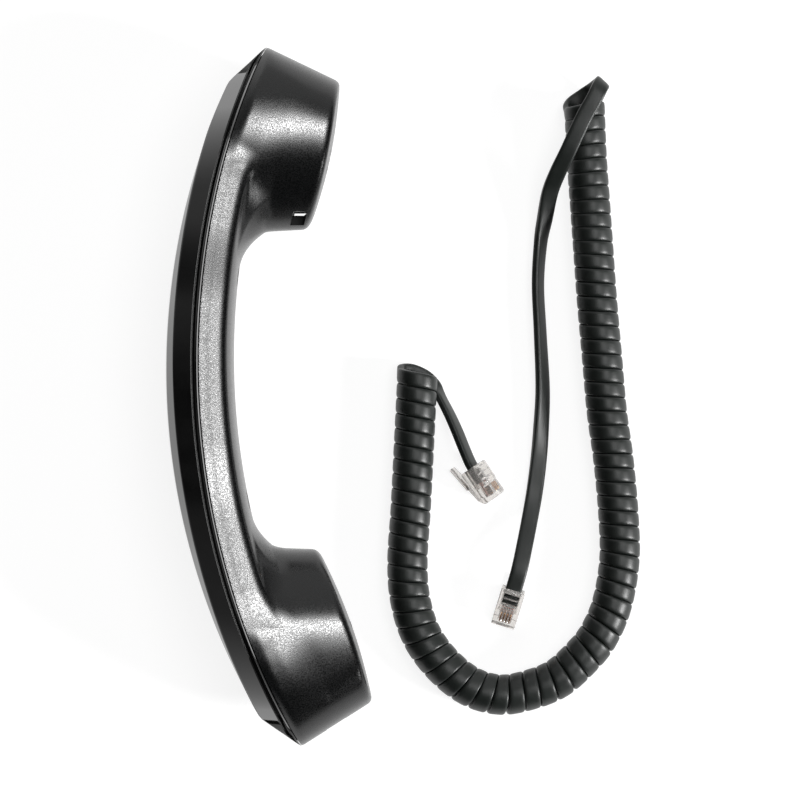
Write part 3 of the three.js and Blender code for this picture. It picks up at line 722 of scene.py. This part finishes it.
def turned_to(direction, points, place):
    """Points made along +Y, turned to a side-view direction and moved to a place in it."""
    dx, dy = direction
    x, y, h = points[:, 0], points[:, 1], points[:, 2]
    return np.stack([place[0] + x * dy + y * dx, place[1] - x * dx + y * dy, MID_Z + h],
                    axis=1)


def drill(name, direction, place, radius, depth, across=0.0, height=0.0, sides=24):
    """A round cutter along a side-view direction, moved sideways by across and height."""
    angle = 2 * math.pi * np.arange(sides) / sides
    rings = [np.stack([across + radius * np.cos(angle), np.full(sides, y),
                       height + radius * np.sin(angle)], 1) for y in (-3.0, depth)]
    points, faces = loft(rings)
    return link(name, mesh_of(name, turned_to(direction, points, place), faces))


def slot_cutter(name, direction, place, long, wide, depth):
    angles = np.linspace(0, math.pi, 9)
    reach = (long - wide) / 2
    ring = [(wide / 2 * math.cos(a), reach + wide / 2 * math.sin(a)) for a in angles]
    ring += [(-wide / 2 * math.cos(a), -reach - wide / 2 * math.sin(a)) for a in angles]
    rings = [np.array([(x, y, z) for x, z in ring]) for y in (-3.0, depth)]
    points, faces = loft(rings)
    return link(name, mesh_of(name, turned_to(direction, points, place), faces))


def box_block(name, x, y, z):
    outline = [(x[0], y[0]), (x[1], y[0]), (x[1], y[1]), (x[0], y[1])]
    return side_view_block(name, outline, *z)


def front_cutters():
    place, inward = EAR_DRILL
    cutters = [drill("hole", inward, place, EAR_HOLES["radius"], HOLE_DEPTH)]
    for k in range(EAR_HOLES["count"]):
        angle = 2 * math.pi * k / EAR_HOLES["count"]
        cutters.append(drill("hole", inward, place, EAR_HOLES["radius"], HOLE_DEPTH,
                             EAR_HOLES["ring"] * math.cos(angle),
                             EAR_HOLES["ring"] * math.sin(angle)))
    place, inward = MOUTH_DRILL
    cutters.append(slot_cutter("slot", inward, place, MOUTH_SLOT["long"],
                               MOUTH_SLOT["wide"], HOLE_DEPTH))
    top = 2 * HALF_WIDTH
    (left, right), (foot, head), lean = WINDOW["x"], WINDOW["y"], WINDOW["lean"]
    outline = [(left, foot), (right, foot), (right + lean, head), (left + lean, head)]
    for z in ((top - WINDOW["deep"], top + 1), (-1, WINDOW["deep"])):
        cutters.append(side_view_block("window", outline, *z))
    for y in SCREW_STATIONS:
        face = (float(arc_x(GRIP, y)), y)
        cutters.append(drill("recess", (-1.0, 0.0), face, *SCREW_RECESS))
        cutters.append(drill("bore", (-1.0, 0.0), face, *SCREW_BORE))
    nx, ny = JACK["outward"]
    half = (JACK["tall"] / 2, JACK["wide"] / 2)
    rings = [np.array([(x, y, z) for x, z in (
        (-half[0], -half[1]), (half[0], -half[1]), (half[0], half[1]), (-half[0], half[1]))])
        for y in (-6.0, JACK_DEPTH)]
    points, faces = loft(rings)
    cutters.append(link("jack", mesh_of(
        "jack", turned_to((-nx, -ny), points, JACK["centre"]), faces)))
    return cutters


def make_front():
    low, high = FRONT_BOX
    step = SHELL_STEP
    points, faces = surface_of(front_distance, low, high, step)
    piece = link("front_cover", mesh_of("front_cover", points, faces))
    inner_points, inner_faces = surface_of(inner_distance, low, high, HOLLOW_STEP)
    hollow = link("hollow", mesh_of("hollow", inner_points, inner_faces))
    y = np.linspace(-125, 125, 240)
    outline = [(60.0, -125.0), (60.0, 125.0)]
    outline += [(arc_x(SEAM, v) + SEAM_GAP, v) for v in y[::-1]]
    block = side_view_block("seam", outline, -15.0, 65.0)
    cut(piece, [hollow])
    cut(piece, [block], "INTERSECT")
    cut(piece, front_cutters())
    smooth_with_edges(piece, 34)
    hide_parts("front_shell")
    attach(piece, "handset")
    return piece


front_cover = make_front()


# ---- Plugs ----

def plug_matrix(place):
    at, heading, roll, pitch = place
    turn = (Matrix.Rotation(math.radians(heading), 4, "Z")
            @ Matrix.Rotation(math.radians(pitch), 4, "X")
            @ Matrix.Rotation(math.radians(roll), 4, "Y"))
    return Matrix.Translation(at) @ turn


def side_prism(name, outline, half):
    """An outline in Y and Z, as wide as twice half in X."""
    rings = [np.array([(x, y, z) for y, z in outline], float) for x in (-half, half)]
    points, faces = loft(rings)
    return link(name, mesh_of(name, points, faces))


def soften(piece, width, segments=2):
    modifier = piece.modifiers.new("edges", "BEVEL")
    modifier.width = width * MM
    modifier.segments = segments
    modifier.limit_method = "ANGLE"
    modifier.angle_limit = math.radians(30)
    bpy.context.view_layer.update()
    apply_modifiers(piece)


def make_window_shade():
    """A dark matte stop between the two hanger windows: painted shade that makes the window look
    dark.
    """
    piece = box_block("hanger_window_shade", *WINDOW_SHADE)
    soften(piece, 0.4)
    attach(piece, "handset")
    return piece


window_shade = make_window_shade()


def contact_places():
    return [(k - 1.5) * CONTACT["pitch"] for k in range(4)]


def plug_body(name):
    half_y, half_z = PLUG["long"] / 2, PLUG["tall"] / 2
    outline = [
        (-half_y, -half_z + 0.5), (-half_y + 0.5, -half_z), (half_y - 2.6, -half_z),
        (half_y - 2.2, -half_z + 0.5), (half_y - 0.9, -half_z + 0.5), (half_y, -half_z + 1.4),
        (half_y, half_z - 0.9), (half_y - 0.6, half_z - 0.3), (half_y - 5.2, half_z - 0.3),
        (half_y - 5.6, half_z), (-half_y + 0.4, half_z), (-half_y, half_z - 0.4),
    ]
    body = side_prism(name, outline, PLUG["wide"] / 2)
    soften(body, PLUG_EDGE)
    rear, above = -half_y, half_z + 1
    side, long, tall = PLUG_BORE
    cutters = [box_block("bore", (-side, side), (rear - 1, rear + long), (-tall, tall))]
    for side, start, end, floor in PLUG_OPENINGS:
        cutters.append(box_block("opening", (-side, side), (rear + start, rear + end),
                                 (floor, above)))
    side, start, end, tall = PLUG_CHANNEL
    cutters.append(box_block("cores", (-side, side), (rear + start, half_y - end), (-tall, tall)))
    start, end = CONTACT_SLOT
    for x in contact_places():
        side = CONTACT["slot"] / 2
        cutters.append(box_block("blade", (x - side, x + side), (half_y - start, half_y - end),
                                 (-0.2, above)))
    cut(body, cutters)
    soften(body, FINE_EDGE, 1)
    smooth_with_edges(body, 30)
    return body


def plug_latch(name):
    """The sprung tab: a thin hinge at the nose, a step that locks it and a thumb pad."""
    top = -PLUG["tall"] / 2 - 0.3
    root = PLUG["long"] / 2 - 1.3
    thick, long, spread = LATCH["thick"], LATCH["long"], LATCH["spread"]
    end = root - long
    outline = [
        (root, top), (root - 2.0, top - 0.1), (root - 5.2, top - 0.7),
        (end + 0.4, top - spread + 0.5), (end, top - spread + 0.3), (end, top - spread),
        (end + 0.25, top - spread - 0.3),
        (root - 6.4, top - thick - 1.15), (root - 5.6, top - thick - 1.1),
        (root - 5.4, top - thick - 0.5), (root - 0.8, top - 0.9), (root, top - 0.5),
    ]
    latch = side_prism(name, outline, LATCH["wide"] / 2)
    soften(latch, 0.12)
    smooth_with_edges(latch, 30)
    return latch


def plug_blade(name, x):
    """A contact: a thin plate with a sloped shoulder on top and teeth at its foot."""
    nose = PLUG["long"] / 2 - 1.7
    top = PLUG["tall"] / 2 - 0.3
    rear = nose - CONTACT["long"] + 0.5
    foot = top - CONTACT["tall"] + 0.4
    outline = [
        (nose, foot + 1.0), (nose, top - 0.35), (nose - 0.35, top), (rear + 0.2, top),
        (rear, top - 0.2), (rear, foot + 0.6), (rear + 0.35, foot), (rear + 0.7, foot + 0.6),
        (rear + 1.3, foot + 0.6), (rear + 1.65, foot), (rear + 2.0, foot + 0.6),
    ]
    blade = side_prism(name, outline, CONTACT["thick"] / 2)
    blade.data.transform(Matrix.Translation((x * MM, 0, 0)))
    soften(blade, FINE_EDGE, 1)
    smooth_with_edges(blade, 30)
    return blade


def plug_cores(name):
    """The four insulated cores from the end of the jacket to the contacts."""
    rear, nose = -PLUG["long"] / 2, PLUG["long"] / 2
    sides, radius = CORE["sides"], CORE["radius"]
    stations = np.linspace(rear + CORE["from_rear"], nose - CORE["from_nose"], CORE["rings"])
    angle = 2 * math.pi * np.arange(sides) / sides
    points, faces = [], []
    for x in contact_places():
        rings = []
        for y in stations:
            rings.append(np.stack([x + radius * np.cos(angle), np.full(sides, y),
                                   radius * np.sin(angle)], 1))
        tube_points, tube_faces = loft(rings)
        start = sum(len(p) for p in points)
        points.append(tube_points)
        faces += [tuple(i + start for i in f) for f in tube_faces]
    cores = link(name, mesh_of(name, np.concatenate(points), faces))
    smooth_with_edges(cores, 40)
    return cores


def make_plug(name, place, latch_body):
    body = plug_body(name + "_shell")
    latch = plug_latch(name + "_tab")
    cores = plug_cores(name + "_cores")
    blades = [plug_blade(f"{name}_blade_{k + 1}", x) for k, x in enumerate(contact_places())]
    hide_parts(name + "_body")
    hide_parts(name + "_latch")
    for k, blade in enumerate(blades):
        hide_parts(f"{name}_contact_{k + 1}")
    pieces = [body, latch, cores, *blades]
    for piece in pieces:
        piece.data.transform(plug_matrix(place))
        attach(piece, latch_body if piece is latch else "cord_set")
    return pieces


plugs = {}
for plug_name, plug_place in PLUG_PLACES.items():
    plugs[plug_name] = make_plug(plug_name, plug_place, "latch_" + plug_name[-1])


# ---- Materials ----

def shader(name, color, rough, metal=0.0):
    material = bpy.data.materials.new(name)
    material.use_nodes = True
    tree = material.node_tree
    surface = tree.nodes["Principled BSDF"]
    surface.inputs["Base Color"].default_value = (*color, 1.0)
    surface.inputs["Roughness"].default_value = rough
    surface.inputs["Metallic"].default_value = metal
    place = tree.nodes.new("ShaderNodeTexCoord").outputs["Object"]
    return material, tree, surface, place


def noise(tree, place, size_mm, detail, rough):
    node = tree.nodes.new("ShaderNodeTexNoise")
    node.inputs["Scale"].default_value = 1000.0 / size_mm
    node.inputs["Detail"].default_value = detail
    node.inputs["Roughness"].default_value = rough
    tree.links.new(place, node.inputs["Vector"])
    return node.outputs["Fac"]


def spread(tree, value, low, high, start=0.3, end=0.7):
    node = tree.nodes.new("ShaderNodeMapRange")
    node.inputs["From Min"].default_value = start
    node.inputs["From Max"].default_value = end
    node.inputs["To Min"].default_value = low
    node.inputs["To Max"].default_value = high
    tree.links.new(value, node.inputs["Value"])
    return node.outputs["Result"]


def tint(tree, value, low, high):
    node = tree.nodes.new("ShaderNodeValToRGB")
    node.color_ramp.elements[0].position = 0.3
    node.color_ramp.elements[1].position = 0.7
    node.color_ramp.elements[0].color = (*low, 1.0)
    node.color_ramp.elements[1].color = (*high, 1.0)
    tree.links.new(value, node.inputs["Fac"])
    return node.outputs["Color"]


def bump(tree, surface, height, strength, distance_mm):
    node = tree.nodes.new("ShaderNodeBump")
    node.inputs["Strength"].default_value = strength
    node.inputs["Distance"].default_value = distance_mm * MM
    tree.links.new(height, node.inputs["Height"])
    tree.links.new(node.outputs["Normal"], surface.inputs["Normal"])


def gloss_black():
    """Polished mould finish with a faint haze and slow flow waves."""
    material, tree, surface, place = shader("gloss_black", (0.001, 0.001, 0.001), 0.05)
    haze = noise(tree, place, 9.0, 4.0, 0.6)
    tree.links.new(spread(tree, haze, 0.035, 0.06), surface.inputs["Roughness"])
    tree.links.new(tint(tree, haze, (0.0006, 0.0006, 0.0006), (0.0012, 0.0012, 0.0012)),
                   surface.inputs["Base Color"])
    waves = noise(tree, place, 14.0, 1.0, 0.4)
    bump(tree, surface, waves, 0.25, 0.02)
    return material


def textured_black():
    """Spark-eroded mould finish: fine pits and grains that glint where light falls on them."""
    material, tree, surface, place = shader("textured_black", (0.003, 0.0032, 0.0034), 0.26)
    cloud = noise(tree, place, 0.42, 1.0, 0.5)
    tree.links.new(spread(tree, cloud, 0.24, 0.36, 0.35, 0.65), surface.inputs["Roughness"])
    tree.links.new(tint(tree, cloud, (0.002, 0.0022, 0.0024), (0.004, 0.0043, 0.0045)),
                   surface.inputs["Base Color"])
    grains = noise(tree, place, 0.36, 1.0, 0.5)
    bump(tree, surface, grains, 0.5, 0.025)
    return material


def jacket():
    """Extruded cord jacket: a soft sheen over a fine grain."""
    material, tree, surface, place = shader("jacket", (0.012, 0.014, 0.0135), 0.42)
    cloud = noise(tree, place, 6.0, 3.0, 0.6)
    tree.links.new(spread(tree, cloud, 0.38, 0.46), surface.inputs["Roughness"])
    tree.links.new(tint(tree, cloud, (0.0075, 0.0100, 0.0088), (0.0115, 0.0140, 0.0125)),
                   surface.inputs["Base Color"])
    fine = noise(tree, place, 0.5, 2.0, 0.5)
    bump(tree, surface, fine, 0.12, 0.02)
    return material


def clear_plastic():
    """Clear moulded polycarbonate with slight flow marks."""
    material, tree, surface, place = shader("clear_plastic", (0.93, 0.90, 0.87), 0.1)
    surface.inputs["Transmission Weight"].default_value = 0.8
    surface.inputs["IOR"].default_value = 1.58
    marks = noise(tree, place, 3.0, 2.0, 0.5)
    tree.links.new(spread(tree, marks, 0.06, 0.14), surface.inputs["Roughness"])
    bump(tree, surface, marks, 0.3, 0.03)
    return material


def plain(name, low, high, rough, metal, grain):
    """A part with cloudy colour and roughness, and a fine grain."""
    material, tree, surface, place = shader(name, high, rough, metal)
    cloud = noise(tree, place, grain * 4, 3.0, 0.6)
    tree.links.new(tint(tree, cloud, low, high), surface.inputs["Base Color"])
    tree.links.new(spread(tree, cloud, rough * 0.8, min(rough * 1.2, 1.0)),
                   surface.inputs["Roughness"])
    bump(tree, surface, noise(tree, place, grain, 2.0, 0.5), 0.15, 0.03)
    return material


def cloth():
    """Woven acoustic cloth: two crossed sets of threads."""
    material, tree, surface, place = shader("cloth", (0.03, 0.03, 0.032), 0.9)
    weave = []
    for direction in ("X", "Z"):
        wave = tree.nodes.new("ShaderNodeTexWave")
        wave.wave_type = "BANDS"
        wave.bands_direction = direction
        wave.inputs["Scale"].default_value = 1000.0 / 1.6
        tree.links.new(place, wave.inputs["Vector"])
        weave.append(wave.outputs["Fac"])
    both = tree.nodes.new("ShaderNodeMath")
    both.operation = "MULTIPLY"
    tree.links.new(weave[0], both.inputs[0])
    tree.links.new(weave[1], both.inputs[1])
    tree.links.new(tint(tree, both.outputs[0], (0.012, 0.012, 0.013), (0.045, 0.045, 0.048)),
                   surface.inputs["Base Color"])
    bump(tree, surface, both.outputs[0], 0.6, 0.1)
    return material


def cores_material():
    """Core insulation, in a pinkish red that varies slowly."""
    material, tree, surface, place = shader("cores", (0.4, 0.05, 0.04), 0.35)
    cloud = noise(tree, place, 1.2, 2.0, 0.5)
    tree.links.new(tint(tree, cloud, (0.55, 0.24, 0.20), (0.72, 0.45, 0.38)),
                   surface.inputs["Base Color"])
    return material


def dress(piece, material):
    piece.data.materials.clear()
    piece.data.materials.append(material)


GLOSS = gloss_black()
TEXTURED = textured_black()
JACKET = jacket()
CLEAR = clear_plastic()
CLOTH = cloth()
CORES = cores_material()
GOLD = plain("gold", (0.55, 0.34, 0.20), (0.76, 0.50, 0.32), 0.25, 1.0, 0.8)
COPPER = plain("copper", (0.60, 0.28, 0.15), (0.80, 0.42, 0.26), 0.3, 1.0, 0.3)
STEEL = plain("steel", (0.36, 0.37, 0.38), (0.55, 0.56, 0.57), 0.38, 1.0, 1.2)
ALUMINIUM = plain("aluminium", (0.62, 0.63, 0.64), (0.78, 0.79, 0.80), 0.3, 1.0, 1.0)
RUBBER = plain("rubber", (0.012, 0.012, 0.012), (0.028, 0.028, 0.028), 0.8, 0.0, 0.8)
FILM = plain("film", (0.52, 0.42, 0.22), (0.70, 0.60, 0.38), 0.3, 0.0, 2.0)
WIRE = plain("wire", (0.30, 0.03, 0.02), (0.50, 0.06, 0.05), 0.45, 0.0, 1.0)

NODE_LOOKS = {
    "ear_cloth": CLOTH, "mic_cloth": CLOTH, "ear_gasket": RUBBER, "mic_boot": RUBBER,
    "receiver_frame": TEXTURED, "receiver_diaphragm": FILM, "receiver_coil": COPPER,
    "receiver_magnet": STEEL, "receiver_yoke": STEEL, "mic_capsule": ALUMINIUM,
    "ballast_weight": STEEL, "shell_screw_ear": STEEL, "shell_screw_mouth": STEEL,
    "jack_housing": GLOSS,
}
for k in (1, 2):
    NODE_LOOKS[f"receiver_wire_{k}"] = NODE_LOOKS[f"mic_wire_{k}"] = WIRE
for k in (1, 2, 3, 4):
    NODE_LOOKS[f"jack_contact_{k}"] = GOLD
for node_name, look in NODE_LOOKS.items():
    dress(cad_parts[node_name], look)
dress(back_cover, GLOSS)
dress(front_cover, TEXTURED)
# The hanger's stop wears dark matte rubber: painted shade in the window.
dress(window_shade, RUBBER)
dress(cord, JACKET)
for pieces in plugs.values():
    dress(pieces[0], CLEAR)
    dress(pieces[1], CLEAR)
    dress(pieces[2], CORES)
    for blade in pieces[3:]:
        dress(blade, GOLD)


# ---- Floor and studio light ----

# Lights far away: azimuth from +X and angle from straight up, how wide each looks, in degrees,
# and the light it throws on what faces it.
KEY = (41.0, 9.5, 8.0, 2.5)
RIM = (0.0, 9.0, 24.0, 1.2)
WINDOW_ON_SHELL = (-40.0, 64.0, 15.0, 0.5)
CORD_KEY = (20.0, 16.0, 30.0, 0.85)
CORD_WINDOW = (-18.0, 66.0, 14.0, 4.0)
# Soft panels over the two ends: size along Y in metres, and how fast they brighten per metre,
# up to the brightest they get.
PANEL_HEIGHT = 1.0
PANEL_WIDTH = 8.0
EAR_PANEL = (8.0, 5.6)
MOUTH_PANEL = (-8.0, 2.2)
PANEL_FULL = 5.2
# The room: how bright it is overall, then its glow towards the ear end as azimuth, angle from
# straight up, the angles around that where it is full and gone, and its brightness.
ROOM = 0.02
ROOM_GLOW = (90.0, 75.0, 15.0, 65.0, 0.8)
FLOOR_GLOW = 0.86
FLOOR_HALF = 3000.0
FLOOR_LEVEL = -0.06


def lit(light, pieces):
    """Keeps a light to the pieces named."""
    group = bpy.data.collections.new(light.name + "_lights")
    for piece in pieces:
        group.objects.link(piece)
    light.light_linking.receiver_collection = group


def towards(azimuth, tilt):
    a, t = math.radians(azimuth), math.radians(tilt)
    return Vector((math.cos(a) * math.sin(t), math.sin(a) * math.sin(t), math.cos(t)))


def lamp(name, kind):
    data = bpy.data.lights.new(name, kind)
    light = bpy.data.objects.new(name, data)
    light.visible_camera = False
    bpy.context.scene.collection.objects.link(light)
    return light


def far_light(name, spec, pieces):
    azimuth, tilt, width, strength = spec
    light = lamp(name, "SUN")
    light.data.angle = math.radians(width)
    light.data.energy = strength
    light.rotation_euler = towards(azimuth, tilt).to_track_quat("Z", "Y").to_euler()
    lit(light, pieces)


def panel(name, spec, pieces):
    """A rectangle overhead that brightens evenly from the middle of the set outwards."""
    reach, rise = spec
    light = lamp(name, "AREA")
    light.data.shape = "RECTANGLE"
    light.data.size = PANEL_WIDTH
    light.data.size_y = abs(reach)
    light.data.energy = 1.0
    light.location = (0.0, reach / 2, PANEL_HEIGHT)
    if reach < 0:
        light.rotation_euler = (0.0, 0.0, math.pi)
    light.data.use_nodes = True
    tree = light.data.node_tree
    across = tree.nodes.new("ShaderNodeTexCoord").outputs["UV"]
    split = tree.nodes.new("ShaderNodeSeparateXYZ")
    tree.links.new(across, split.inputs["Vector"])
    grow = tree.nodes.new("ShaderNodeMapRange")
    grow.inputs["From Max"].default_value = PANEL_FULL / (rise * abs(reach))
    grow.inputs["To Max"].default_value = PANEL_FULL * math.pi * PANEL_WIDTH * abs(reach)
    tree.links.new(split.outputs["Y"], grow.inputs["Value"])
    tree.links.new(grow.outputs["Result"], tree.nodes["Emission"].inputs["Strength"])
    lit(light, pieces)


def make_room():
    world = bpy.data.worlds.new("studio")
    bpy.context.scene.world = world
    world.use_nodes = True
    tree = world.node_tree
    look = tree.nodes.new("ShaderNodeTexCoord").outputs["Generated"]
    azimuth, tilt, full, gone, strength = ROOM_GLOW
    dot = tree.nodes.new("ShaderNodeVectorMath")
    dot.operation = "DOT_PRODUCT"
    dot.inputs[1].default_value = towards(azimuth, tilt)
    tree.links.new(look, dot.inputs[0])
    fade = tree.nodes.new("ShaderNodeMapRange")
    fade.interpolation_type = "SMOOTHSTEP"
    fade.inputs["From Min"].default_value = math.cos(math.radians(gone))
    fade.inputs["From Max"].default_value = math.cos(math.radians(full))
    fade.inputs["To Min"].default_value = ROOM
    fade.inputs["To Max"].default_value = ROOM + strength
    tree.links.new(dot.outputs["Value"], fade.inputs["Value"])
    background = tree.nodes["Background"]
    background.inputs["Color"].default_value = (1.0, 1.0, 1.0, 1.0)
    tree.links.new(fade.outputs["Result"], background.inputs["Strength"])
    bpy.context.scene.view_settings.view_transform = "Standard"


def make_floor():
    """A lit white table."""
    half, level = FLOOR_HALF, FLOOR_LEVEL
    corners = [(-half, -half, level), (half, -half, level), (half, half, level),
               (-half, half, level)]
    floor = link("floor", mesh_of("floor", corners, [(0, 1, 2, 3)]))
    material, _, surface, _ = shader("floor", (0.3, 0.3, 0.3), 0.9)
    surface.inputs["Specular IOR Level"].default_value = 0.0
    surface.inputs["Emission Color"].default_value = (1.0, 1.0, 1.0, 1.0)
    surface.inputs["Emission Strength"].default_value = FLOOR_GLOW
    dress(floor, material)
    return floor


floor = make_floor()
small_things = [cord, floor, window_shade] + [piece for pieces in plugs.values() for piece in pieces]
small_things += [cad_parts[name] for name in NODE_LOOKS]
make_room()
far_light("key", KEY, [front_cover])
far_light("rim", RIM, [back_cover])
far_light("window_on_shell", WINDOW_ON_SHELL, [front_cover])
far_light("cord_key", CORD_KEY, small_things)
far_light("cord_window", CORD_WINDOW, small_things)
panel("ear_panel", EAR_PANEL, [back_cover])
panel("mouth_panel", MOUTH_PANEL, [back_cover])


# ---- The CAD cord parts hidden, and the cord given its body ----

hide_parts("cord_coil", "cord_lead_short", "cord_lead_long")
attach(cord, "cord_set")
